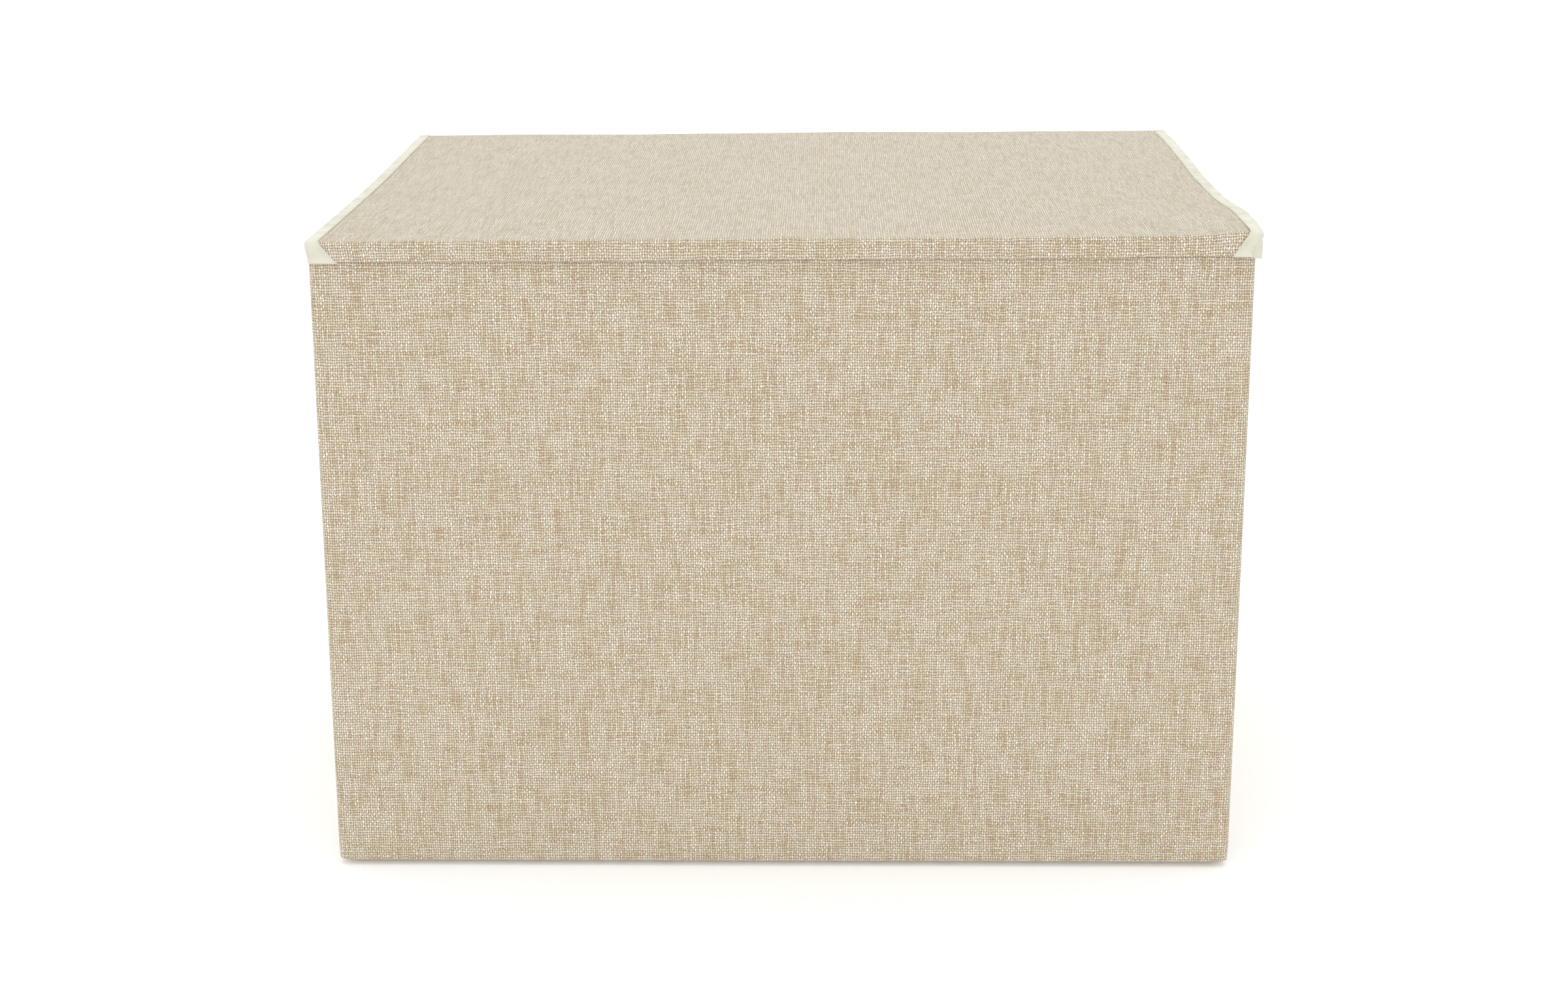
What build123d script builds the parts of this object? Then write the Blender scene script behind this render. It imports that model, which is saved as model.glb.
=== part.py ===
from build123d import *
import os

# A lidded fabric storage bin that folds flat.
#
# Six stiff wall panels stand on a fabric-covered base: the front, the back, and two halves
# of each side wall, which meet at an upright crease. Every panel is a grey board between a
# woven outer cover and a thin lining, and the cover turns over the rim as a hem. The lid is
# a board between a cover and a lining. Its sides are bound with tape, its front edge turns
# down as a lip, and it swings on a strip of fabric along the top of the back wall.
#
# Units are millimetres. +Z is up, the front faces -Y, and the origin is on the floor, under
# the middle of the whole bin's bounding box.

# Overall size of the walls, and the height to the top of the closed lid
width = 600.0
depth = 484.0
height = 428.0

# Thickness of each material
cover_thickness = 1.0
board_thickness = 2.5
lining_thickness = 0.6
tape_thickness = 0.8
base_board_thickness = 3.0

# Walls
corner_radius = 5.0
hem = 12.0

# Lid
lid_overhang = 1.5  # beyond the side walls
lip_height = 14.0
lip_edge_radius = 1.8
lip_bottom_radius = 0.9
tape_width = 9.0
lip_tape_width = 17.0  # of the tape where it turns under the lip
tape_end = 3.0  # from the outer face of the back wall to the end of the tape

# Clearances
body_gap = 0.3  # between two bodies that move against each other
base_gap = 0.4  # from the base up to the walls that pass over it when the bin folds
hinge_ease = 0.2  # from the thickest part of a wall to its folding line
board_end = 1.0  # from the end of a wall to the end of its board
base_ease = 0.5  # from the turned-up edge of the bottom cover to the base board
lip_gap = 0.4  # from the front wall to the tape behind the lip

# What follows from those sizes
wall = cover_thickness + board_thickness + lining_thickness
hemmed_wall = wall + cover_thickness
fold_inset = hemmed_wall + hinge_ease  # from a wall's outer face to its corner folding line
lip = 2 * cover_thickness
lip_proud = lip_gap + tape_thickness + lip + tape_thickness

front_face = lip_proud - (depth + lip_proud) / 2
back_face = front_face + depth
middle = (front_face + back_face) / 2
straight = width / 2 - corner_radius  # half of the front wall between its curved corners

base_lining_bottom = cover_thickness + base_board_thickness
base_top = base_lining_bottom + lining_thickness
wall_bottom = base_top + base_gap
lid_cover_top = height - tape_thickness
lid_board_top = lid_cover_top - cover_thickness
lid_lining_top = lid_board_top - board_thickness
lid_under = lid_lining_top - lining_thickness
rim_top = lid_under - tape_thickness - body_gap
hinge_line = lid_cover_top - hinge_ease
board_bottom = wall_bottom + board_end
hem_under = rim_top - cover_thickness
tape_under = rim_top - tape_thickness
front_board_face = front_face + cover_thickness
back_board_face = back_face - cover_thickness

lid_half_width = width / 2 + lid_overhang - tape_thickness
lid_back = back_face - cover_thickness - body_gap
lip_back = front_face - lip_gap - tape_thickness
lip_front = lip_back - lip
lip_bottom = height - lip_height
tape_outer = -lid_half_width - tape_thickness

# Each wall's share of the plan: lowest and highest x, lowest and highest y
front_fold = front_face + fold_inset
back_fold = back_face - fold_inset
front_zone = (-width / 2, width / 2, front_face, front_fold)
back_zone = (-width / 2, width / 2, back_fold, back_face)
front_half_zone = (-width / 2, 0, front_fold + body_gap, middle - body_gap / 2)
rear_half_zone = (-width / 2, 0, middle + body_gap / 2, back_fold - body_gap)


def rectangle(x_low, x_high, y_low, y_high, mode=Mode.ADD):
    """Add a rectangle to the current sketch, from its lowest and highest x and y."""
    with Locations(((x_low + x_high) / 2, (y_low + y_high) / 2)):
        Rectangle(x_high - x_low, y_high - y_low, mode=mode)


def outline(inset, mode=Mode.ADD):
    """Add the bin's plan, taken in by inset, to the current sketch."""
    radius = corner_radius - inset
    with Locations((0, middle)):
        if radius > 0:
            RectangleRounded(width - 2 * inset, depth - 2 * inset, radius, mode=mode)
        else:
            Rectangle(width - 2 * inset, depth - 2 * inset, mode=mode)


def wall_plan(zone, inset, thickness):
    """Add one layer of a wall to the current sketch, inset from the wall's outer face."""
    outline(inset)
    outline(inset + thickness, mode=Mode.SUBTRACT)
    rectangle(*zone, mode=Mode.INTERSECT)


def block(x_low, x_high, y_low, y_high, z_low, z_high):
    """A plain block, from its lowest and highest x, y and z."""
    with BuildPart() as piece:
        with BuildSketch(Plane.XY.offset(z_low)):
            rectangle(x_low, x_high, y_low, y_high)
        extrude(amount=z_high - z_low)
    return piece


def wall_cover(zone):
    """The outer fabric of one wall, turned over the rim and down the inside as a hem."""
    with BuildPart() as piece:
        with BuildSketch(Plane.XY.offset(wall_bottom)):
            wall_plan(zone, 0, cover_thickness)
        extrude(amount=rim_top - wall_bottom)
        with BuildSketch(Plane.XY.offset(hem_under)):
            wall_plan(zone, 0, hemmed_wall)
        extrude(amount=cover_thickness)
        with BuildSketch(Plane.XY.offset(rim_top - hem)):
            wall_plan(zone, wall, cover_thickness)
        extrude(amount=hem)
    return piece


def wall_lining(zone, top):
    """The thin inner fabric of one wall, up to the underside of its hem or tape."""
    bottom = wall_bottom + body_gap
    with BuildPart() as piece:
        with BuildSketch(Plane.XY.offset(bottom)):
            wall_plan(zone, cover_thickness + board_thickness, lining_thickness)
        extrude(amount=top - bottom)
    return piece


def side_board(zone):
    """The board of one half of the left wall."""
    x_low = cover_thickness - width / 2
    x_high = x_low + board_thickness
    y_low = zone[2] + board_end
    y_high = zone[3] - board_end
    return block(x_low, x_high, y_low, y_high, board_bottom, hem_under)


def base_layer(z_low, thickness):
    """A flat layer of the loose base, which lies in the bottom cover."""
    with BuildPart() as piece:
        with BuildSketch(Plane.XY.offset(z_low)):
            outline(cover_thickness + base_ease)
        extrude(amount=thickness)
    return piece


def lid_fabric(part_to_keep):
    """The lid's cover, which turns down at the front and doubles back inside as the lip.

    The top and the lip are two pieces, which meet level with the top of the lid's board.
    """
    with BuildPart() as piece:
        with BuildSketch(Plane.YZ.offset(-lid_half_width)) as profile:
            rectangle(lip_front, lid_back, lid_board_top, lid_cover_top)
            rectangle(lip_front, lip_back, lip_bottom, lid_cover_top)
            fillet(profile.vertices().group_by(Axis.X)[0].sort_by(Axis.Y)[-1], lip_edge_radius)
            fillet(profile.vertices().group_by(Axis.X)[0].sort_by(Axis.Y)[0], lip_bottom_radius)
        extrude(amount=2 * lid_half_width)
        split(bisect_by=Plane.XY.offset(lid_board_top), keep=part_to_keep)
    return piece


def lid_layer(z_low, thickness):
    """A flat layer under the lid's cover, from the lip to the hinge."""
    z_high = z_low + thickness
    return block(-lid_half_width, lid_half_width, lip_back, lid_back, z_low, z_high)


def mirrored(piece):
    """The same piece on the other side of the bin."""
    with BuildPart() as copy:
        mirror(piece.part, about=Plane.YZ)
    return copy


pieces = {}

# Base: the bottom cover is a shallow tray whose edges turn up beside the base board
with BuildPart() as bottom_cover:
    with BuildSketch():
        outline(0)
    extrude(amount=base_top)
    fillet(bottom_cover.faces().sort_by(Axis.Z)[0].edges(), cover_thickness)
    with BuildSketch(Plane.XY.offset(cover_thickness)):
        outline(cover_thickness)
    extrude(amount=base_top, mode=Mode.SUBTRACT)

pieces["bottom_cover"] = bottom_cover
pieces["base_board"] = base_layer(cover_thickness, base_board_thickness)
pieces["base_lining"] = base_layer(base_lining_bottom, lining_thickness)

# Back wall: its cover runs on above the rim, behind the lid, as the lid's hinge
with BuildPart() as back_cover:
    with BuildSketch(Plane.XY.offset(wall_bottom)):
        wall_plan(back_zone, 0, cover_thickness)
    extrude(amount=rim_top - wall_bottom)
    with BuildSketch(Plane.XY.offset(rim_top)):
        rectangle(-straight, straight, back_face - cover_thickness, back_face)
    extrude(amount=hinge_line - rim_top)

# The tape that caps the back wall in front of the hinge, and turns down over its lining
with BuildPart() as hinge_tape:
    with BuildSketch(Plane.XY.offset(tape_under)):
        wall_plan(back_zone, cover_thickness, wall + tape_thickness - cover_thickness)
    extrude(amount=tape_thickness)
    with BuildSketch(Plane.XY.offset(rim_top - hem)):
        wall_plan(back_zone, wall, tape_thickness)
    extrude(amount=hem)

back_board_inner = back_board_face - board_thickness
pieces["back_cover"] = back_cover
pieces["back_board"] = block(
    -straight, straight, back_board_inner, back_board_face, board_bottom, tape_under
)
pieces["back_lining"] = wall_lining(back_zone, tape_under)
pieces["hinge_tape"] = hinge_tape

# Front wall
front_board_inner = front_board_face + board_thickness
pieces["front_cover"] = wall_cover(front_zone)
pieces["front_board"] = block(
    -straight, straight, front_board_face, front_board_inner, board_bottom, hem_under
)
pieces["front_lining"] = wall_lining(front_zone, hem_under)

# Side walls: each has a front and a rear half
for half, zone in (("front", front_half_zone), ("rear", rear_half_zone)):
    left_pieces = {
        "cover": wall_cover(zone),
        "board": side_board(zone),
        "lining": wall_lining(zone, hem_under),
    }
    for name, piece in left_pieces.items():
        pieces[f"left_{half}_{name}"] = piece
        pieces[f"right_{half}_{name}"] = mirrored(piece)

# Lid
lid_cover = lid_fabric(Keep.TOP)
lid_lip = lid_fabric(Keep.BOTTOM)
lid_board = lid_layer(lid_lining_top, board_thickness)
lid_lining = lid_layer(lid_under, lining_thickness)

# The tape round the left edge of the lid, which also wraps the end of the lip
with BuildPart() as lid_left_tape:
    tape_back = back_face - tape_end
    with BuildSketch(Plane.XZ.offset(-tape_back)):
        rectangle(tape_outer, tape_outer + tape_width, lid_under - tape_thickness, height)
    extrude(amount=tape_back - lip_front)
    with BuildSketch(Plane.XZ.offset(-(lip_back + tape_thickness))):
        with BuildLine():
            Polyline(
                (tape_outer, height),
                (tape_outer + tape_width, height),
                (tape_outer + lip_tape_width, lip_bottom - tape_thickness),
                (tape_outer, lip_bottom - tape_thickness),
                close=True,
            )
        make_face()
    extrude(amount=lip + 2 * tape_thickness)
    fillet(lid_left_tape.edges().filter_by(Axis.Z).sort_by(Axis.Y)[0], tape_thickness)
    for wrapped in (lid_cover, lid_lip, lid_board, lid_lining):
        add(wrapped.part, mode=Mode.SUBTRACT)

pieces["lid_cover"] = lid_cover
pieces["lid_lip"] = lid_lip
pieces["lid_board"] = lid_board
pieces["lid_lining"] = lid_lining
pieces["lid_left_tape"] = lid_left_tape
pieces["lid_right_tape"] = mirrored(lid_left_tape)

os.makedirs("parts", exist_ok=True)
for name, piece in pieces.items():
    piece.part.label = name
    export_step(piece.part, f"parts/{name}.step")
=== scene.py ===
import math

import bmesh
import bpy
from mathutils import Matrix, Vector, noise


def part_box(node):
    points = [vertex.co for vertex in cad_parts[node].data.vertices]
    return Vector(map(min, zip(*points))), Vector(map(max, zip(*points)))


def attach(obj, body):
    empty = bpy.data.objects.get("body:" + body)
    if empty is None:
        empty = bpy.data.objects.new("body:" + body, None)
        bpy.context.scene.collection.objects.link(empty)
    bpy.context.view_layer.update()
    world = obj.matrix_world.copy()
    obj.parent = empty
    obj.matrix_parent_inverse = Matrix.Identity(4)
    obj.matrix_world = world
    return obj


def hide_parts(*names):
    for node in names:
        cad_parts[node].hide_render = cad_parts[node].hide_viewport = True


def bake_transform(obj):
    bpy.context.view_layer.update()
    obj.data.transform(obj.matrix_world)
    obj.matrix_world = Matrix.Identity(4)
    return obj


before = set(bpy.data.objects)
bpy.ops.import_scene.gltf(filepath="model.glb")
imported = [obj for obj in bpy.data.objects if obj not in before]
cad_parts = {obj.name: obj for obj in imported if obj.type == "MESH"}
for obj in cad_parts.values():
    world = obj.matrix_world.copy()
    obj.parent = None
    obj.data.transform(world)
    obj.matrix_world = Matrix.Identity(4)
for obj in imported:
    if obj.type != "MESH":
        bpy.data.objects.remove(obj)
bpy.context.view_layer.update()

# A lidded fabric storage bin that folds flat. Woven cloth is stretched over grey boards, the
# hinged lid is bound along its two sides with cream tape, and its front edge turns down as a lip.
#
# All lengths are in metres. The front faces -Y.

mm = 0.001


# ---- camera ----

camera = bpy.data.objects.new("camera", bpy.data.cameras.new("camera"))
bpy.context.scene.collection.objects.link(camera)
camera.location = (0.0245, -1.8710, 0.7196)
camera.rotation_euler = [math.radians(angle) for angle in (74.311, 0.152, 0.761)]
camera.data.sensor_width = 36
camera.data.lens = 60.05
bpy.context.scene.camera = camera


# ---- sizes, from the CAD frame ----

front_low, front_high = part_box("front_cover")
lid_low, lid_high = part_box("lid_cover")
lip_low, lip_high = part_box("lid_lip")
under_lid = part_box("lid_lining")[0].z
tape_low, tape_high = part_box("lid_left_tape")
lid_edge = -tape_low.x  # half the lid's width, with its tape
base_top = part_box("base_lining")[1].z

half_width = front_high.x
front_face = front_low.y
back_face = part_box("back_cover")[1].y
crease = (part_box("left_front_cover")[1].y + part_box("left_rear_cover")[0].y) / 2
front_fold = front_high.y
wall_foot = front_low.z
rim = front_high.z - 0.4 * mm  # the rounded top of a wall, just under the lid
corner = 5 * mm  # radius of the upright corners
cloth_thickness = 0.7 * mm
hem_face = 4.8 * mm  # from a wall's outer face to its hem
hem_foot = front_high.z - 12 * mm
lining_face = 4.1 * mm
foot_tuck = 0.5 * mm  # how far the foot of a wall's cover is drawn in
cloth_step = 9 * mm  # spacing of the mesh over the plain parts of the cloth


# ---- how soft cloth lies ----

def fade(value, low, high):
    """0 below low, 1 above high, and smooth between them."""
    share = min(max((value - low) / (high - low), 0), 1)
    return share * share * (3 - 2 * share)


def swell(value, centre, spread):
    """A smooth bump, 1 at the centre."""
    return math.exp(-(((value - centre) / spread) ** 2))


def ripple(x, y, z, size, height, seed=0):
    """A gentle unevenness, with hollows about size apart."""
    return height * noise.noise(Vector((x / size + seed, y / size - seed, z / size)))


def rounded(x, y, radius, side):
    """Round off one front corner of the lid, seen from above, by mapping a square to a disc."""
    a = (side * x - (lid_edge - radius)) / radius
    b = (tape_low.y + radius - y) / radius
    if a <= 0 or b <= 0:
        return x, y
    a, b = a * math.sqrt(1 - min(b, 1) ** 2 / 2), b * math.sqrt(1 - min(a, 1) ** 2 / 2)
    return side * (a * radius + lid_edge - radius), tape_low.y + radius - b * radius


def settle(point, share=1.0):
    """Where a point of the lid really lies, since the lid is soft and a little askew.

    Its left edge rests on the wall, its right edge stands up a few millimetres, and the right
    edge waves near the front corner. share is how much of this a point takes, from 0 to 1.
    across runs from -1 at the left edge to 1 at the right, and back from 0 at the front to 1.
    """
    x, y, z = point
    across = x / lid_high.x
    back = (y - lid_low.y) / (lid_high.y - lid_low.y)
    left = max(-across, 0) ** 5
    right = max(across, 0) ** 5

    # from above, the right front corner is well rounded and both side edges bow in and out
    new_x, new_y = rounded(x, y, 11 * mm, 1)
    new_x, new_y = rounded(new_x, new_y, 3.5 * mm, -1)
    new_x += 1.0 * mm * back + right * 2.8 * mm * (1 - fade(back, 0.0, 0.12))
    new_x += left * (2.2 * mm * swell(back, 0.5, 0.3) + 0.8 * mm * fade(back, 0.0, 0.2))
    new_x += right * (2.4 * mm * swell(back, 0.14, 0.12) + 0.5 * mm * swell(back, 0.8, 0.2))
    new_x -= right * 1.0 * mm * swell(back, 0.5, 0.14)

    # the lid tilts up to the right, and its right edge lifts most behind the front corner
    new_z = z + 1.3 * mm + 1.8 * mm * across - left * 0.1 * mm
    lifted = fade(across, 0.84, 0.985) * (1 - fade(back, 0.0, 0.35))
    new_z += 2.4 * mm * lifted * (0.2 + 0.8 * fade(z, lip_low.z, lip_high.z))
    new_z += right * (2.0 * mm * swell(back, 0.12, 0.1) + 0.6 * mm * swell(back, 0.85, 0.2))

    # the very corner droops, and the top is gently uneven
    droop = fade(across, 0.965, 1.003) * (1 - fade(back, -0.01, 0.07))
    new_z -= 2.6 * mm * droop * (0.3 + 0.7 * fade(z, tape_high.z - 18 * mm, tape_high.z))
    new_z += ripple(x, y, 0, 90 * mm, 0.7 * mm, 3) * (1 - left) * fade(back, 0, 0.06)

    # the lip hangs a little forward, with a wavy lower edge
    hang = fade(lip_high.z - z, 0, 12 * mm)
    new_y -= hang * (0.5 * mm + ripple(x, 0, 0, 70 * mm, 0.7 * mm, 8)) * (1 - left)
    new_z += hang * ripple(x, 0, 0, 55 * mm, 0.8 * mm, 5) * (1 - left)
    new_x += hang * left * 1.6 * mm
    return tuple(a + share * (b - a) for a, b in zip(point, (new_x, new_y, new_z)))


# ---- meshes ----

def cloth_piece(name, rows, across, along, material, thickness, flip=False):
    """A cloth mesh from rows of points, with a map of where each point was on the flat cloth.

    across has one distance for each row, and along one for each point in a row.
    """
    count = len(along)
    points = [point for row in rows for point in row]
    faces = []
    for i in range(len(rows) - 1):
        for j in range(count - 1):
            a = i * count + j
            face = (a, a + 1, a + count + 1, a + count)
            faces.append(face[::-1] if flip else face)
    mesh = bpy.data.meshes.new(name)
    mesh.from_pydata(points, [], faces)
    flat = mesh.uv_layers.new(name="cloth")
    for loop in mesh.loops:
        i, j = divmod(loop.vertex_index, count)
        flat.data[loop.index].uv = (1 + across[i], 1 + along[j])
    for face in mesh.polygons:
        face.use_smooth = True
    mesh.materials.append(material)
    piece = bpy.data.objects.new(name, mesh)
    bpy.context.scene.collection.objects.link(piece)
    if thickness:
        solid = piece.modifiers.new("thickness", "SOLIDIFY")
        solid.thickness = thickness
        solid.offset = -1
        # the shading follows the cloth's faces, not its thin cut edge
        shading = piece.modifiers.new("shading", "WEIGHTED_NORMAL")
        shading.weight = 100
    return piece


def travel(points):
    """The distance from the first point to each one, along the line through them."""
    total = [0.0]
    for a, b in zip(points, points[1:]):
        total.append(total[-1] + math.dist(a, b))
    return total


def spread(start, end, step=cloth_step):
    """Evenly spaced values from start to end, about step apart."""
    count = max(1, round(abs(end - start) / step))
    return [start + (end - start) * i / count for i in range(count + 1)]


def arc(centre, radius, first, last, count=8):
    """Points along an arc, with its angles in degrees."""
    angles = [math.radians(first + (last - first) * i / count) for i in range(count + 1)]
    return [(centre[0] + radius * math.cos(a), centre[1] + radius * math.sin(a)) for a in angles]


# ---- materials ----

def colour(code):
    """An sRGB hex colour as the linear values that a shader takes."""
    parts = [int(code[i:i + 2], 16) / 255 for i in (1, 3, 5)]
    return [c / 12.92 if c <= 0.04045 else ((c + 0.055) / 1.055) ** 2.4 for c in parts] + [1.0]


def node(tree, kind, inputs=None, stops=(), **settings):
    """Add one node, with its settings, and with values or links for its inputs.

    stops are the places and colours of a colour ramp.
    """
    made = tree.nodes.new(kind)
    for name, value in settings.items():
        setattr(made, name, value)
    for name, value in (inputs or {}).items():
        if isinstance(value, bpy.types.NodeSocket):
            tree.links.new(value, made.inputs[name])
        else:
            made.inputs[name].default_value = value
    for place, code in stops[1:-1]:
        made.color_ramp.elements.new(place)
    for i, (place, code) in enumerate(stops):
        made.color_ramp.elements[i].position = place
        made.color_ramp.elements[i].color = colour(code)
    return made


# a Mix node has sockets for several kinds of data, and these are the ones for colours
first_colour, second_colour, mixed_colour = 6, 7, 2


def finish_named(name, **constants):
    """A new material, its node tree and its shader, with the shader's plain numbers set."""
    material = bpy.data.materials.new(name)
    material.use_nodes = True
    shader = material.node_tree.nodes["Principled BSDF"]
    for socket, value in constants.items():
        shader.inputs[socket.replace("_", " ")].default_value = value
    return material, material.node_tree, shader


# Coarse plain weave of slubby linen-look yarn, in cream and tan. Matt. Its colour has a painted
# highlight on the crown where a thread lies on top, painted shade in the gaps between threads,
# and streaks where a darker length of yarn runs.
def woven_cover():
    material, tree, shader = finish_named(
        "woven_linen_look_cloth", Roughness=0.88, IOR=1.5, Specular_IOR_Level=0.25,
        Sheen_Weight=0.45, Sheen_Roughness=0.4, Sheen_Tint=colour("#e2ece8"),
    )
    warp_pitch, weft_pitch = 1.52 * mm, 1.8 * mm
    flat = node(tree, "ShaderNodeUVMap", uv_map="cloth").outputs["UV"]
    # threads wander from side to side every 11 mm or so, and knots about 2.4 mm long make them
    # thicker and thinner
    wander = node(
        tree, "ShaderNodeTexNoise",
        {"Vector": flat, "Scale": 90.0, "Detail": 4.0, "Roughness": 0.75},
    )
    shifted = node(
        tree, "ShaderNodeVectorMath",
        {0: wander.outputs["Color"], 1: (2.2 * mm, 2.4 * mm, 0), 2: flat},
        operation="MULTIPLY_ADD",
    ).outputs[0]
    knots = node(tree, "ShaderNodeTexNoise", {"Vector": flat, "Scale": 420.0, "Detail": 1.0})
    uneven = node(
        tree, "ShaderNodeVectorMath",
        {0: knots.outputs["Color"], 1: (1.3 * mm, 1.0 * mm, 0), 2: shifted},
        operation="MULTIPLY_ADD",
    ).outputs[0]
    threads = node(
        tree, "ShaderNodeVectorMath", {0: uneven, 1: (warp_pitch, weft_pitch, 1)},
        operation="DIVIDE",
    ).outputs[0]
    cell = node(tree, "ShaderNodeVectorMath", {0: threads}, operation="FLOOR").outputs[0]
    turned = node(
        tree, "ShaderNodeVectorMath", {0: threads, 1: (math.pi, math.pi, 0)}, operation="MULTIPLY"
    ).outputs[0]
    waves = node(tree, "ShaderNodeVectorMath", {0: turned}, operation="SINE").outputs[0]
    wave = node(tree, "ShaderNodeSeparateXYZ", {0: waves})
    over_under = node(
        tree, "ShaderNodeMath", {0: wave.outputs["X"], 1: wave.outputs["Y"]}, operation="MULTIPLY"
    ).outputs[0]

    # a thread is round across its width, and rises and falls as it passes over and under
    heights = []
    for across, rise in (("X", 0.42), ("Y", -0.3)):
        dome = node(
            tree, "ShaderNodeMath", {0: wave.outputs[across]}, operation="ABSOLUTE"
        ).outputs[0]
        round_thread = node(
            tree, "ShaderNodeMath", {0: dome, 1: 1.15}, operation="POWER"
        ).outputs[0]
        level = node(
            tree, "ShaderNodeMath", {0: over_under, 1: rise, 2: 0.6}, operation="MULTIPLY_ADD"
        ).outputs[0]
        heights.append(
            node(
                tree, "ShaderNodeMath", {0: round_thread, 1: level}, operation="MULTIPLY"
            ).outputs[0]
        )
    weft_on_top = node(
        tree, "ShaderNodeMath", {0: heights[1], 1: heights[0]}, operation="GREATER_THAN"
    ).outputs[0]
    height = node(
        tree, "ShaderNodeMath", {0: heights[0], 1: heights[1]}, operation="MAXIMUM"
    ).outputs[0]

    # each thread has its own streaks of paler and darker yarn: one axis of the noise steps by a
    # whole thread, and the other runs along it
    warp_tones = ((0.3, "#c9b394"), (0.43, "#dfd3ba"), (0.57, "#efe8d6"), (0.74, "#faf4e5"))
    weft_tones = ((0.3, "#c4ae91"), (0.44, "#d3c6ae"), (0.56, "#ded5c1"), (0.74, "#e6decb"))
    warp_streak, weft_streak = 24 * mm, 16 * mm
    tones = []
    for run, step, stops in (
        ((0, 1 / warp_streak, 0), (7.31, 0, 0), warp_tones),
        ((1 / weft_streak, 0, 0), (0, 5.77, 0), weft_tones),
    ):
        along = node(
            tree, "ShaderNodeVectorMath", {0: shifted, 1: run}, operation="MULTIPLY"
        ).outputs[0]
        place = node(
            tree, "ShaderNodeVectorMath", {0: cell, 1: step, 2: along}, operation="MULTIPLY_ADD"
        ).outputs[0]
        streak = node(
            tree, "ShaderNodeTexNoise", {"Vector": place, "Scale": 1.0, "Detail": 2.0},
            noise_dimensions="2D",
        ).outputs["Fac"]
        ramp = node(tree, "ShaderNodeValToRGB", {"Fac": streak}, stops)
        tones.append(ramp.outputs["Color"])

    yarn = node(
        tree, "ShaderNodeMix",
        {"Factor": weft_on_top, first_colour: tones[0], second_colour: tones[1]},
        data_type="RGBA",
    ).outputs[mixed_colour]

    # patches, a few threads wide, where the yarn turns greyer or more tan
    patches = node(
        tree, "ShaderNodeVectorMath", {0: flat, 1: (95.0, 60.0, 1)}, operation="MULTIPLY"
    ).outputs[0]
    for seed, code, low, high, most in (
        (3.0, "#cccab9", 0.45, 0.75, 0.55),
        (9.0, "#c9a67b", 0.48, 0.78, 0.5),
    ):
        patch = node(
            tree, "ShaderNodeTexNoise", {"Vector": patches, "W": seed, "Detail": 3.0},
            noise_dimensions="4D",
        ).outputs["Fac"]
        strength = node(
            tree, "ShaderNodeMapRange",
            {"Value": patch, "From Min": low, "From Max": high, "To Max": most},
            interpolation_type="SMOOTHSTEP",
        ).outputs[0]
        yarn = node(
            tree, "ShaderNodeMix",
            {"Factor": strength, first_colour: yarn, second_colour: colour(code)},
            data_type="RGBA",
        ).outputs[mixed_colour]

    # painted shade: the colour darkens to brown at the edges of each thread and in the gaps
    # between threads, which leaves a painted highlight along each thread's crown
    thread_highlight_and_gap_shade = node(
        tree, "ShaderNodeMapRange", {"Value": height, "From Min": 0.12, "From Max": 0.8},
        interpolation_type="SMOOTHSTEP",
    ).outputs[0]
    shown = node(
        tree, "ShaderNodeMix",
        {"Factor": thread_highlight_and_gap_shade, first_colour: colour("#836f57"), second_colour: yarn},
        data_type="RGBA",
    ).outputs[mixed_colour]
    tree.links.new(shown, shader.inputs["Base Color"])
    relief = node(
        tree, "ShaderNodeBump", {"Height": height, "Strength": 0.7, "Distance": 0.35 * mm}
    ).outputs[0]
    tree.links.new(relief, shader.inputs["Normal"])
    return material


# Woven polyester binding tape, cream, with fine cross ribs and a soft satin sheen.
def binding_tape():
    material, tree, shader = finish_named(
        "cream_binding_tape", Roughness=0.6, IOR=1.5, Specular_IOR_Level=0.35
    )
    flat = node(tree, "ShaderNodeUVMap", uv_map="cloth").outputs["UV"]
    # ribs are 0.4 mm apart on real tape, and drawn 0.5 mm apart: at a scale of 0.5, a Wave
    # texture has 1.6 ribs to the unit
    unit = 0.8 * mm
    scaled = node(
        tree, "ShaderNodeVectorMath", {0: flat, 1: (1 / unit, 1 / unit, 0)}, operation="MULTIPLY"
    ).outputs[0]
    ribs = node(
        tree, "ShaderNodeTexWave",
        {"Vector": scaled, "Scale": 0.5, "Distortion": 0.6, "Detail": 1.0},
        bands_direction="X",
    ).outputs["Fac"]
    # the tape puckers a little, and varies in colour, every 14 mm or so
    cloudy = node(
        tree, "ShaderNodeTexNoise", {"Vector": flat, "Scale": 70.0, "Detail": 3.0}
    ).outputs["Fac"]
    cream = node(
        tree, "ShaderNodeValToRGB", {"Fac": cloudy},
        ((0.3, "#cdcab8"), (0.5, "#d9d7c7"), (0.7, "#e2e0d2")),
    ).outputs["Color"]
    tree.links.new(cream, shader.inputs["Base Color"])
    puckers = node(
        tree, "ShaderNodeMath", {0: cloudy, 1: 3.0, 2: ribs}, operation="MULTIPLY_ADD"
    ).outputs[0]
    relief = node(
        tree, "ShaderNodeBump", {"Height": puckers, "Strength": 0.4, "Distance": 0.12 * mm}
    ).outputs[0]
    tree.links.new(relief, shader.inputs["Normal"])
    return material


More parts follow.
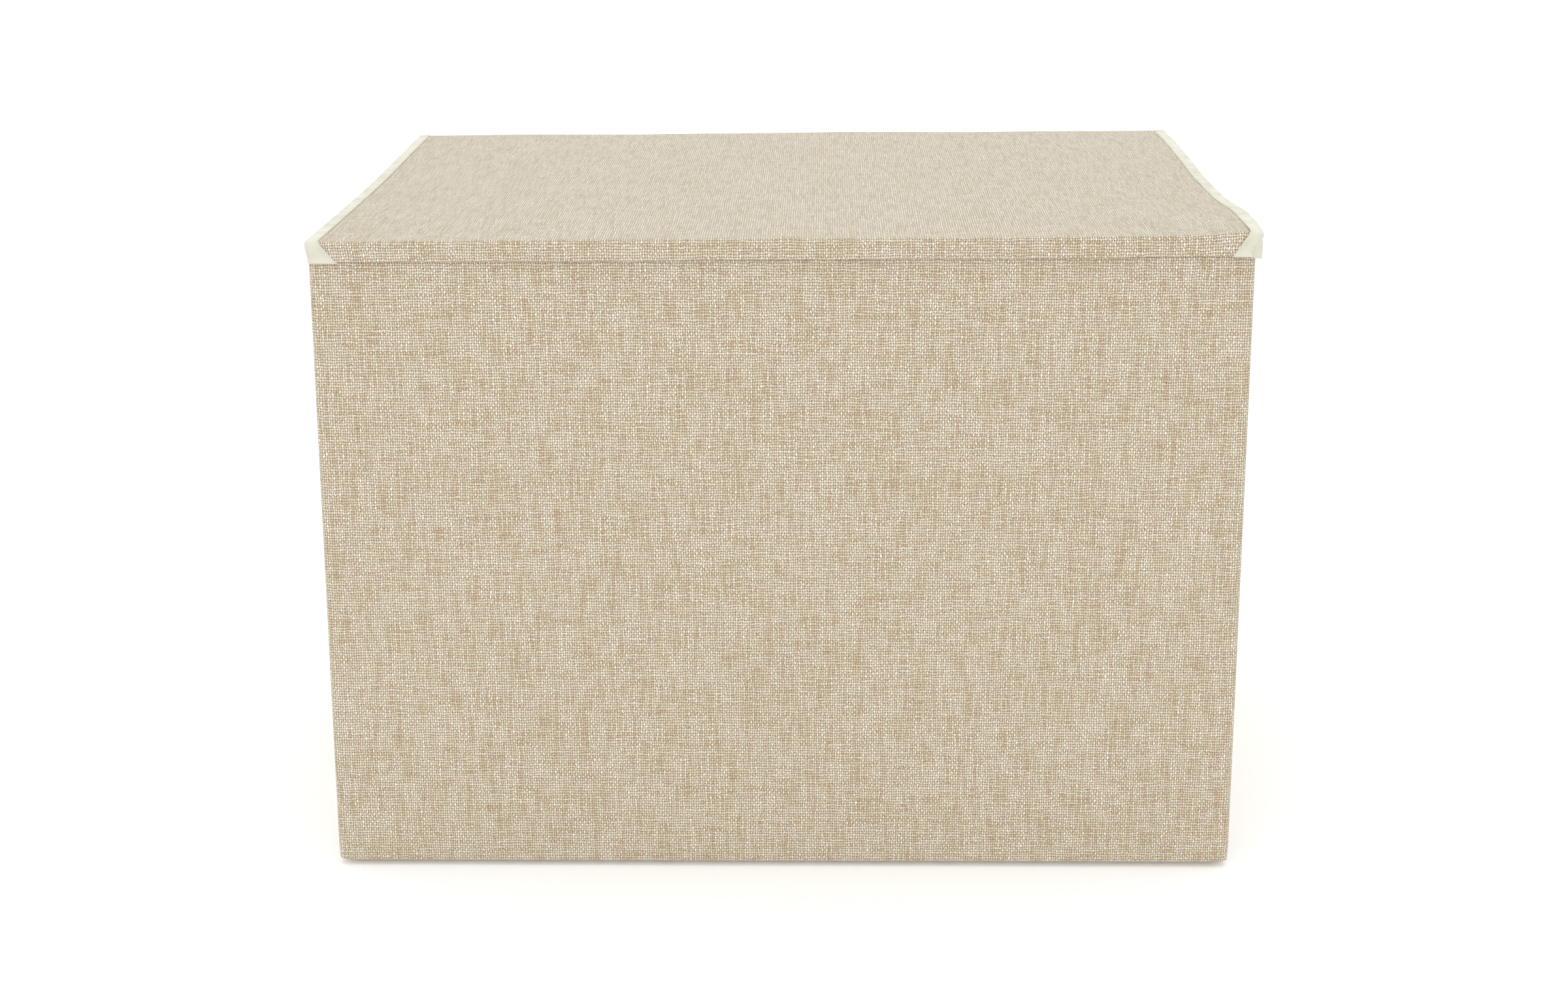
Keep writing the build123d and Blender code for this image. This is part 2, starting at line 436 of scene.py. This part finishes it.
# Spunbond polypropylene lining, off-white. Thin and matt, with a grid of small heat-pressed dots.
def spunbond_lining():
    material, tree, shader = finish_named(
        "spunbond_lining", Roughness=0.75, IOR=1.49, Specular_IOR_Level=0.3
    )
    flat = node(tree, "ShaderNodeUVMap", uv_map="cloth").outputs["UV"]
    # dots are about 1 mm apart on real spunbond, and drawn 2 mm apart so that they show
    dot_pitch = 2 * mm
    grid = node(
        tree, "ShaderNodeVectorMath", {0: flat, 1: (math.pi / dot_pitch, math.pi / dot_pitch, 0)},
        operation="MULTIPLY",
    ).outputs[0]
    waves = node(tree, "ShaderNodeVectorMath", {0: grid}, operation="SINE").outputs[0]
    wave = node(tree, "ShaderNodeSeparateXYZ", {0: waves})
    product = node(
        tree, "ShaderNodeMath", {0: wave.outputs["X"], 1: wave.outputs["Y"]}, operation="MULTIPLY"
    ).outputs[0]
    size = node(tree, "ShaderNodeMath", {0: product}, operation="ABSOLUTE").outputs[0]
    pressed = node(
        tree, "ShaderNodeMapRange", {"Value": size, "From Min": 0.55, "From Max": 0.8},
        interpolation_type="SMOOTHSTEP",
    ).outputs[0]
    # loose fibres gather in tufts about 4 mm across
    fibres = node(
        tree, "ShaderNodeTexNoise", {"Vector": flat, "Scale": 260.0, "Detail": 4.0}
    ).outputs["Fac"]
    mottled = node(
        tree, "ShaderNodeValToRGB", {"Fac": fibres},
        ((0.3, "#cfc9ba"), (0.5, "#dcd7ca"), (0.7, "#e6e2d7")),
    ).outputs["Color"]
    shown = node(
        tree, "ShaderNodeMix",
        {"Factor": pressed, first_colour: mottled, second_colour: colour("#c9c2b1")},
        data_type="RGBA",
    ).outputs[mixed_colour]
    tree.links.new(shown, shader.inputs["Base Color"])
    surface = node(
        tree, "ShaderNodeMath", {0: pressed, 1: -1.0, 2: fibres}, operation="MULTIPLY_ADD"
    ).outputs[0]
    relief = node(
        tree, "ShaderNodeBump", {"Height": surface, "Strength": 0.5, "Distance": 0.15 * mm}
    ).outputs[0]
    tree.links.new(relief, shader.inputs["Normal"])
    return material


# Recycled grey board: matt warm grey, with darker flecks of old print in the pulp.
def grey_board():
    material, tree, shader = finish_named(
        "recycled_grey_board", Roughness=0.9, IOR=1.5, Specular_IOR_Level=0.2
    )
    place = node(tree, "ShaderNodeTexCoord").outputs["Object"]
    # flecks are up to 2.5 mm across
    pulp = node(
        tree, "ShaderNodeTexNoise", {"Vector": place, "Scale": 400.0, "Detail": 4.0}
    ).outputs["Fac"]
    flecked = node(
        tree, "ShaderNodeValToRGB", {"Fac": pulp},
        ((0.3, "#7c766c"), (0.42, "#9a9488"), (0.7, "#aba599")),
    ).outputs["Color"]
    tree.links.new(flecked, shader.inputs["Base Color"])
    relief = node(
        tree, "ShaderNodeBump", {"Height": pulp, "Strength": 0.4, "Distance": 0.2 * mm}
    ).outputs[0]
    tree.links.new(relief, shader.inputs["Normal"])
    return material


# Matt white studio paper, which glows a little so that it stays white far from the lights.
def studio_paper():
    return finish_named(
        "white_studio_paper", Roughness=0.95, Specular_IOR_Level=0.0,
        Base_Color=colour("#fbfbfb"), Emission_Color=colour("#ffffff"), Emission_Strength=0.12,
    )[0]


cover_cloth = woven_cover()
tape_cloth = binding_tape()
lining_cloth = spunbond_lining()
board = grey_board()

for name, cad_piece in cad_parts.items():
    if name.endswith("_board"):
        cad_piece.material_slots[0].material = board


# ---- walls ----

def straight(normal, start, end):
    """Stations along a straight run of wall, one corner radius inside its outer face.

    Each has its place and the outward direction. A side wall has finer stations at its crease.
    """
    along = 1 if normal[0] else 0
    places = spread(start[along], end[along])
    if along and min(places) < crease < max(places):
        steps = (8, 5, 3.5, 2.4, 1.6, 1, 0.5, 0.15)  # millimetres from the crease
        fine = [crease + side * d * mm for side in (-1, 1) for d in steps]
        places = [p for p in places if abs(p - crease) > 11 * mm] + fine
        places.sort(reverse=end[1] < start[1])
    fixed = start[1 - along]
    return [((fixed, p) if along else (p, fixed), normal) for p in places]


def turn(centre, first):
    """Stations round an upright corner, clockwise from the angle first, in degrees."""
    return [(centre, normal) for normal in arc((0, 0), 1, first, first - 90, 10)]


def wall_point(station, inset, z):
    """A point of a wall, inset from its outer face.

    The outer cloth dips into a crease, ripples a little, and is drawn in at its foot. The inner
    cloth dips less, into the other side of the crease.
    """
    (x, y), normal = station
    outer_cloth = inset < 2 * mm
    out = corner - inset
    point = [x + normal[0] * out, y + normal[1] * out]
    if abs(normal[0]) == 1:
        groove = 1.3 * mm * swell(point[1], crease, 1.35 * mm)
        point[0] -= normal[0] * groove * (1 if outer_cloth else -0.4)
    if outer_cloth:
        margin = right_x - abs(x) if abs(normal[1]) == 1 else min(y - front_y, back_y - y)
        lift = ripple(*point, z, 110 * mm, 0.5 * mm)
        lift *= fade(rim - z, 0, 20 * mm) * fade(margin, 0, 30 * mm) * fade(z, 0, 20 * mm)
        lift -= foot_tuck * (1 - fade(z, wall_foot, wall_foot + 4 * mm))
        point = [point[0] + normal[0] * lift, point[1] + normal[1] * lift]
    return (point[0], point[1], z)


def round_profile(last_inset, last_z):
    """A wall's cloth from its foot, over the rim and down the inside, as (inset, height)."""
    edge = 1.6 * mm
    profile = [(0, z) for z in spread(wall_foot, rim - edge)]
    profile += [(edge - a, b) for a, b in arc((0, rim - edge), edge, 0, 90)[1:]]
    inner = last_inset - edge
    profile += [(inner - a, b) for a, b in arc((0, rim - edge), edge, 90, 180)]
    profile += [(last_inset, z) for z in spread(rim - edge, last_z, 4 * mm)[1:]]
    return profile


def cover_wall(name, stations, profile, material, inward=False, begin=0.0):
    """A wall's cloth: the profile carried along the stations, from begin round the bin."""
    rows = [[wall_point(station, inset, z) for inset, z in profile] for station in stations]
    outer = [wall_point(station, 0, wall_foot)[:2] for station in stations]
    across = [begin + d for d in travel(outer)]
    along = travel(profile)
    piece = cloth_piece(name, rows, across, along, material, cloth_thickness, flip=inward)
    return piece, across, along


# the centres of the rounded corners, seen from above
left_x, right_x = -(half_width - corner), half_width - corner
front_y, back_y = front_face + corner, back_face - corner
front_left, front_right = (left_x, front_y), (right_x, front_y)
back_left, back_right = (left_x, back_y), (right_x, back_y)

# where the pieces of cloth meet: on the sides, in the middle of each half, and near the back corners
side_join_front = -117 * mm
side_join_back = 121 * mm
back_join = 293 * mm

# each run of cloth is a list of stations, clockwise from above, and crosses only one joint
front_left_run = (
    [((right_x, front_fold), (1, 0))] + turn(front_right, 0)
    + straight((0, -1), front_right, front_left)[1:-1] + turn(front_left, -90)
    + straight((-1, 0), front_left, (left_x, side_join_front))[1:]
)
left_crease_run = straight((-1, 0), (left_x, side_join_front), (left_x, side_join_back))
back_left_run = (
    straight((-1, 0), (left_x, side_join_back), back_left)[:-1] + turn(back_left, 180)
    + [((-back_join, back_y), (0, 1))]
)
back_right_run = (
    [((back_join, back_y), (0, 1))] + turn(back_right, 90)
    + straight((1, 0), back_right, (right_x, side_join_back))[1:]
)
right_front_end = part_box("right_front_cover")[0].y
right_crease_run = straight((1, 0), (right_x, side_join_back), (right_x, right_front_end))

fold = 5.5 * mm  # how far from a corner its cloth bends
crease_fold = 4 * mm  # and how far from a crease
# name, stations, the two bodies, and where the blend between them starts and ends
runs = (
    ("front_left", front_left_run, ("front_wall", "left_front_half"),
     (-half_width + fold, front_face), (-half_width, front_face + fold)),
    ("left_crease", left_crease_run, ("left_front_half", "left_rear_half"),
     (-half_width, crease - crease_fold), (-half_width, crease + crease_fold)),
    ("back_left", back_left_run, ("left_rear_half", "base_and_back"),
     (-half_width, back_face - fold), (-half_width + fold, back_face)),
    ("back_right", back_right_run, ("base_and_back", "right_rear_half"),
     (half_width - fold, back_face), (half_width, back_face - fold)),
    ("right_crease", right_crease_run, ("right_rear_half", "right_front_half"),
     (half_width, crease + crease_fold), (half_width, crease - crease_fold)),
)
# the CAD pieces that each run's cover and lining take the place of
covers = {
    "front_left": ("front_cover",),
    "left_crease": ("left_front_cover", "left_rear_cover"),
    "right_crease": ("right_rear_cover", "right_front_cover"),
}
linings = {
    "front_left": ("front_lining",),
    "left_crease": ("left_front_lining", "left_rear_lining"),
    "back_left": ("back_lining",),
    "right_crease": ("right_rear_lining", "right_front_lining"),
}
hem_profile = round_profile(hem_face, hem_foot)
lining_bottom = wall_foot + 0.3 * mm
lining_profile = [(lining_face, z) for z in spread(lining_bottom, rim - 1.5 * mm)]

round_the_bin = {"cover": 0.0, "lining": 0.0}  # how far round the bin the cloth has come
for run, stations, bodies, start, end in runs:
    for kind, profile, material, stood_for, inward in (
        ("cover", hem_profile, cover_cloth, covers, False),
        ("lining", lining_profile, lining_cloth, linings, True),
    ):
        if kind == "lining" and run == "back_left":  # this lining runs on across the back wall
            stations = stations[:-1] + straight((0, 1), (-back_join, back_y), (back_join, back_y))
        piece, across, along = cover_wall(
            f"{run}_{kind}", stations, profile, material, inward, round_the_bin[kind]
        )
        round_the_bin[kind] = across[-1]
        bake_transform(piece)
        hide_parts(*stood_for.get(run, ()))


# ---- the back cover, which runs on over the top of the wall as the lid's hinge ----

lid_top = lid_high.z
hinge_end = 238.5 * mm  # where the hinge's cloth meets the lid's
hinge_curve = 2.6 * mm
back_profile = [(0, z) for z in spread(wall_foot, lid_top - hinge_curve)]
curve = arc((0, lid_top - hinge_curve), hinge_curve, 0, 90)
back_profile += [(hinge_curve - a, b) for a, b in curve[1:]]
hinge_places = spread(back_face - hinge_curve, hinge_end, 1 * mm)
back_profile += [(back_face - y, lid_top) for y in hinge_places[1:]]

back_run = straight((0, 1), (-back_join, back_y), (back_join, back_y))
rows = []
for station in back_run:
    row = []
    for inset, z in back_profile:
        share = fade(z, rim, lid_top) if inset < hinge_curve else 1.0
        row.append(settle(wall_point(station, inset, z), share))
    rows.append(row)
across = travel([row[0] for row in rows])
along = travel(back_profile)
back_cover = cloth_piece("back_and_hinge_cover", rows, across, along, cover_cloth, cloth_thickness)
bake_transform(back_cover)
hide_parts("back_cover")

# tape caps the back wall in front of the hinge, and turns down inside it
cap_round = 1.6 * mm
cap_turn = 3.2 * mm  # how far in from the wall's outer face it starts to turn
cap_profile = [(1.0 * mm, rim - 0.6 * mm), (1.2 * mm, rim), (cap_turn, rim)]
cap_profile += [(cap_turn - a, b) for a, b in arc((0, rim - cap_round), cap_round, 90, 180)[1:]]
cap_profile += [(hem_face, z) for z in spread(rim - cap_round, hem_foot, 4 * mm)[1:]]
cap, across, along = cover_wall("hinge_cap_tape", back_run, cap_profile, tape_cloth)
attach(cap, "base_and_back")
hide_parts("hinge_tape")


# ---- lid ----

# the lid's cloth as (y, z), from the hinge, over the front edge, round the foot of the lip and up
front_round = 3.0 * mm
lip_round = 1.0 * mm
lip_foot = lip_low.z + lip_round
lip_back = lid_low.y + 2 * lip_round
edge_centre = (lid_low.y + front_round, lid_top - front_round)
line = [(y, lid_top) for y in spread(hinge_end, edge_centre[0])]
line += arc(edge_centre, front_round, 90, 180)[1:]
line += [(lid_low.y, z) for z in spread(edge_centre[1], lip_foot, 1.5 * mm)[1:]]
line += arc((lid_low.y + lip_round, lip_foot), lip_round, 180, 360)[1:]
line += [(lip_back, z) for z in spread(lip_foot, under_lid - 0.2 * mm, 1.5 * mm)[1:]]

lid_half = lid_high.x - 3.6 * mm  # the cloth ends inside the tape
columns = spread(-lid_half, lid_half)
rows = [[settle((x, y, z)) for y, z in line] for x in columns]
along = [along[-1] + d for d in travel(line)]  # the weave runs on from the hinge
lid_cover = cloth_piece(
    "lid_and_lip_cover", rows, [x + half_width for x in columns], along, cover_cloth, 0.5 * mm
)
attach(lid_cover, "lid")
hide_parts("lid_cover", "lid_lip")

rows_y = spread(lid_high.y, lip_back)
rows = [[settle((x, y, under_lid)) for y in rows_y] for x in columns]
lid_lining = cloth_piece(
    "lid_lining_cloth", rows, columns, travel([(0, y) for y in rows_y]), lining_cloth, 0.4 * mm,
    flip=True,
)
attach(lid_lining, "lid")
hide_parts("lid_lining")

# the lid's board lies as the lid does, between its cover and its lining
board_y = rows_y[1:-1]
board_rows = [[settle((x, y, lid_top - 0.7 * mm)) for y in board_y] for x in columns[1:-1]]
lid_board = cloth_piece(
    "lid_stiffener", board_rows, columns[1:-1], travel([(0, y) for y in board_y]), board,
    2.5 * mm,
)
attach(lid_board, "lid")
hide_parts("lid_board")


# ---- the tape round each side of the lid, which also wraps the end of the lip ----

def lid_tape(name, side, foot_width, node_name):
    """A strip folded over the lid's side edge, widening to a diagonal patch down the lip.

    Its length is a list of pairs of (y, z) points, one on its outer layer and one on its inner.
    """
    strip_width = 9 * mm
    top = tape_high.z - 0.1 * mm
    outer_y = tape_low.y
    front_turn, foot_turn = 3.6 * mm, 1.8 * mm  # radii over the front edge and under the lip
    inner_corner = (lid_low.y + 2.7 * mm, under_lid - 0.6 * mm)
    middle_z = (top + inner_corner[1]) / 2
    pairs = []
    # the back end is folded in and closed
    for shut, y in ((0.12, tape_high.y), (0.75, tape_high.y - 0.1 * mm)):
        reach = shut * (top - middle_z)
        pairs.append(((y, middle_z + reach), (y, middle_z - reach)))
    for y in spread(tape_high.y - 0.8 * mm, outer_y + front_turn, 5 * mm):
        pairs.append(((y, top), (max(y, inner_corner[0]), inner_corner[1])))
    for point in arc((outer_y + front_turn, top - front_turn), front_turn, 90, 180)[1:]:
        pairs.append((point, inner_corner))
    foot = tape_low.z + foot_turn
    for z in spread(top - front_turn, foot, 1.2 * mm)[1:]:
        pairs.append(((outer_y, z), (inner_corner[0], min(z, inner_corner[1]))))
    for point in arc((outer_y + foot_turn, foot), foot_turn, 180, 262)[1:]:
        pairs.append((point, (inner_corner[0] - 0.4 * mm, point[1] + 0.3 * mm)))

    roll = 2.0 * mm  # how far in from the lid's edge the tape starts to round over
    steps, under_steps = 8, 4
    rows, widths = [], []
    for outer, inner in pairs:
        down = min(max((top - outer[1]) / (top - tape_low.z), 0), 1)
        width = strip_width + (foot_width - strip_width) * down
        widths.append(width)
        middle = ((outer[0] + inner[0]) / 2, (outer[1] + inner[1]) / 2)
        half = ((outer[0] - inner[0]) / 2, (outer[1] - inner[1]) / 2)
        size = math.hypot(*half)
        row = []
        for i in range(steps):
            # the tape's own edge is turned under, so it is thicker beside its end
            stand = 0.3 * mm * swell(i, 1, 1) if i else -0.4 * mm
            place = [outer[k] + half[k] / size * stand for k in (0, 1)]
            row.append((lid_edge - width * (1 - i / steps) - roll * i / steps, *place))
        for a, b in arc((0, 0), 1, 90, -90, 10):
            x = lid_edge - roll + a * roll
            row.append((x, middle[0] + half[0] * b, middle[1] + half[1] * b))
        for i in range(under_steps):
            row.append((lid_edge - roll - (width - roll) * (i + 1) / under_steps, *inner))
        rows.append([settle((side * x, y, z)) for x, y, z in row])

    length = travel([outer for outer, inner in pairs])
    girth = travel(rows[0])
    piece = cloth_piece(name, rows, length, girth, tape_cloth, 0.6 * mm, flip=side > 0)
    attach(piece, "lid")
    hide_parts(node_name)


lid_tape("left_edge_tape", -1, 19.5 * mm, "lid_left_tape")
lid_tape("right_edge_tape", 1, 20 * mm, "lid_right_tape")

# at the right end of the lip, the spare tape is folded into a small tuck that narrows inwards
tuck_edge = lid_edge - 0.2 * mm
tuck_top, tuck_foot = lid_top - 4 * mm, tape_low.z - 0.6 * mm
tuck_front = tape_low.y - 0.35 * mm
tuck_rows = []
for share in (i / 6 for i in range(7)):
    high = Vector((tuck_edge - 6.8 * mm * share, tuck_top - 7.2 * mm * share ** 1.2))
    low = Vector((tuck_edge - 4.6 * mm * share, tuck_foot + 0.8 * mm * math.sin(math.pi * share)))
    y = tuck_front + 0.5 * mm * (1 - share) ** 3
    tuck_rows.append([(x, y, z) for x, z in (high.lerp(low, j / 5) for j in range(6))])
# it wraps round the end of the lip
round_side = [[(x + 0.3 * mm, y + d, z) for x, y, z in tuck_rows[0]] for d in (3.2 * mm, 1.2 * mm)]
tuck_rows = [[settle(p) for p in row] for row in round_side + tuck_rows]
tuck = cloth_piece(
    "right_tape_tuck", tuck_rows, travel([row[0] for row in tuck_rows]), travel(tuck_rows[0]),
    tape_cloth, 0.5 * mm, flip=True,
)
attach(tuck, "lid")


# ---- base ----

def base_outline(radius, inset):
    """The outline of the bin's plan, with rounder or sharper corners, as points round it."""
    right, front, back = half_width - radius, front_face + radius, back_face - radius
    corners = (
        ((right, front), 0), ((-right, front), -90), ((-right, back), 180), ((right, back), 90),
    )
    arcs = [arc(centre, radius - inset, first, first - 90, 10) for centre, first in corners]
    outline = []
    for side, length in enumerate((2 * half_width, back_face - front_face) * 2):
        first, last = arcs[side][-1], arcs[(side + 1) % 4][0]
        count = round(length / cloth_step)
        outline += arcs[side]
        outline += [
            tuple(a + (b - a) * i / count for a, b in zip(first, last)) for i in range(1, count)
        ]
    return outline + outline[:1]


def base_piece(name, levels, material, thickness, closed=False):
    """A flat piece of the base, from outlines given as (corner radius, inset, height).

    The last outline is filled in, and the first one too where the piece is closed.
    """
    outlines = [[(x, y, z) for x, y in base_outline(radius, inset)] for radius, inset, z in levels]
    rows = [list(points) for points in zip(*outlines)]
    up = levels[-1][2] > levels[0][2]
    piece = cloth_piece(
        name, rows, travel(outlines[0]), travel(rows[0]), material, thickness, flip=not up
    )
    shell = bmesh.new()
    shell.from_mesh(piece.data)
    bmesh.ops.remove_doubles(shell, verts=shell.verts, dist=0.01 * mm)
    flat = shell.loops.layers.uv["cloth"]
    for z in [levels[-1][2]] + [levels[0][2]] * closed:
        rim_edges = [
            edge for edge in shell.edges
            if edge.is_boundary and all(abs(v.co.z - z) < 0.01 * mm for v in edge.verts)
        ]
        for face in bmesh.ops.holes_fill(shell, edges=rim_edges)["faces"]:
            for loop in face.loops:
                loop[flat].uv = loop.vert.co.xy + Vector((1, 1))
    bmesh.ops.recalc_face_normals(shell, faces=shell.faces)
    shell.to_mesh(piece.data)
    shell.free()
    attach(piece, "base_and_back")
    return piece


# the bottom cover curves softly under towards the floor
tray_top = base_top + 0.2 * mm
tray_curve = 9 * mm
tray_levels = []
for step in range(11):
    fall = (step / 10) ** 0.8
    inset = foot_tuck + tray_curve * fall ** 1.3
    tray_levels.append((corner + tray_curve * fall, inset, tray_top * (1 - fall)))
tray = base_piece("bottom_tray_cover", tray_levels, cover_cloth, cloth_thickness)
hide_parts("bottom_cover")

stiffener_levels = (
    (corner + 8 * mm, 9.8 * mm, 0.9 * mm), (corner + 5 * mm, 5.5 * mm, 2.4 * mm),
    (corner + 3 * mm, 2.6 * mm, 3.9 * mm),
)
stiffener = base_piece("base_stiffener", stiffener_levels, board, 0, closed=True)
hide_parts("base_board")

mat_levels = (
    (corner, 2.4 * mm, base_top - 0.8 * mm), (corner, 2.4 * mm, base_top - 0.3 * mm),
    (corner, 2.7 * mm, base_top),
)
mat = base_piece("base_mat_lining", mat_levels, lining_cloth, 0.4 * mm)
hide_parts("base_lining")


# ---- studio ----

# a white floor that curves up into a backdrop far behind
floor_reach, curve_start, curve_radius, backdrop_top = 40.0, 4.0, 2.5, 8.0
floor_line = [(-floor_reach, 0.0), (curve_start, 0.0)]
sweep = arc((0, 0), curve_radius, -90, 0, 16)
floor_line += [(curve_start + a, curve_radius + b) for a, b in sweep[1:]]
floor_line += [(curve_start + curve_radius, backdrop_top)]
floor_rows = [[(x, y, z) for y, z in floor_line] for x in (-floor_reach, floor_reach)]
floor = cloth_piece(
    "studio_floor", floor_rows, [0, 2 * floor_reach], travel(floor_line), studio_paper(), 0,
    flip=True,
)


def soft_light(name, place, target, size, power):
    """A square soft box that faces its target."""
    lamp = bpy.data.lights.new(name, "AREA")
    lamp.shape = "SQUARE"
    lamp.size = size
    lamp.energy = power
    box = bpy.data.objects.new(name, lamp)
    box.location = place
    aim = Vector(target) - Vector(place)
    box.rotation_euler = aim.to_track_quat("-Z", "Y").to_euler()
    bpy.context.scene.collection.objects.link(box)


soft_light("overhead_softbox", place=(0.0, 0.2, 3.2), target=(0, 0, 0), size=3.5, power=27)
soft_light("front_softbox", place=(-0.5, -3.6, 1.8), target=(0, 0, 0.2), size=3.0, power=17)

world = bpy.data.worlds.new("studio_air")
world.use_nodes = True
background = world.node_tree.nodes["Background"]
background.inputs["Color"].default_value = colour("#ffffff")
background.inputs["Strength"].default_value = 0.95
bpy.context.scene.world = world
bpy.context.scene.view_settings.view_transform = "Standard"
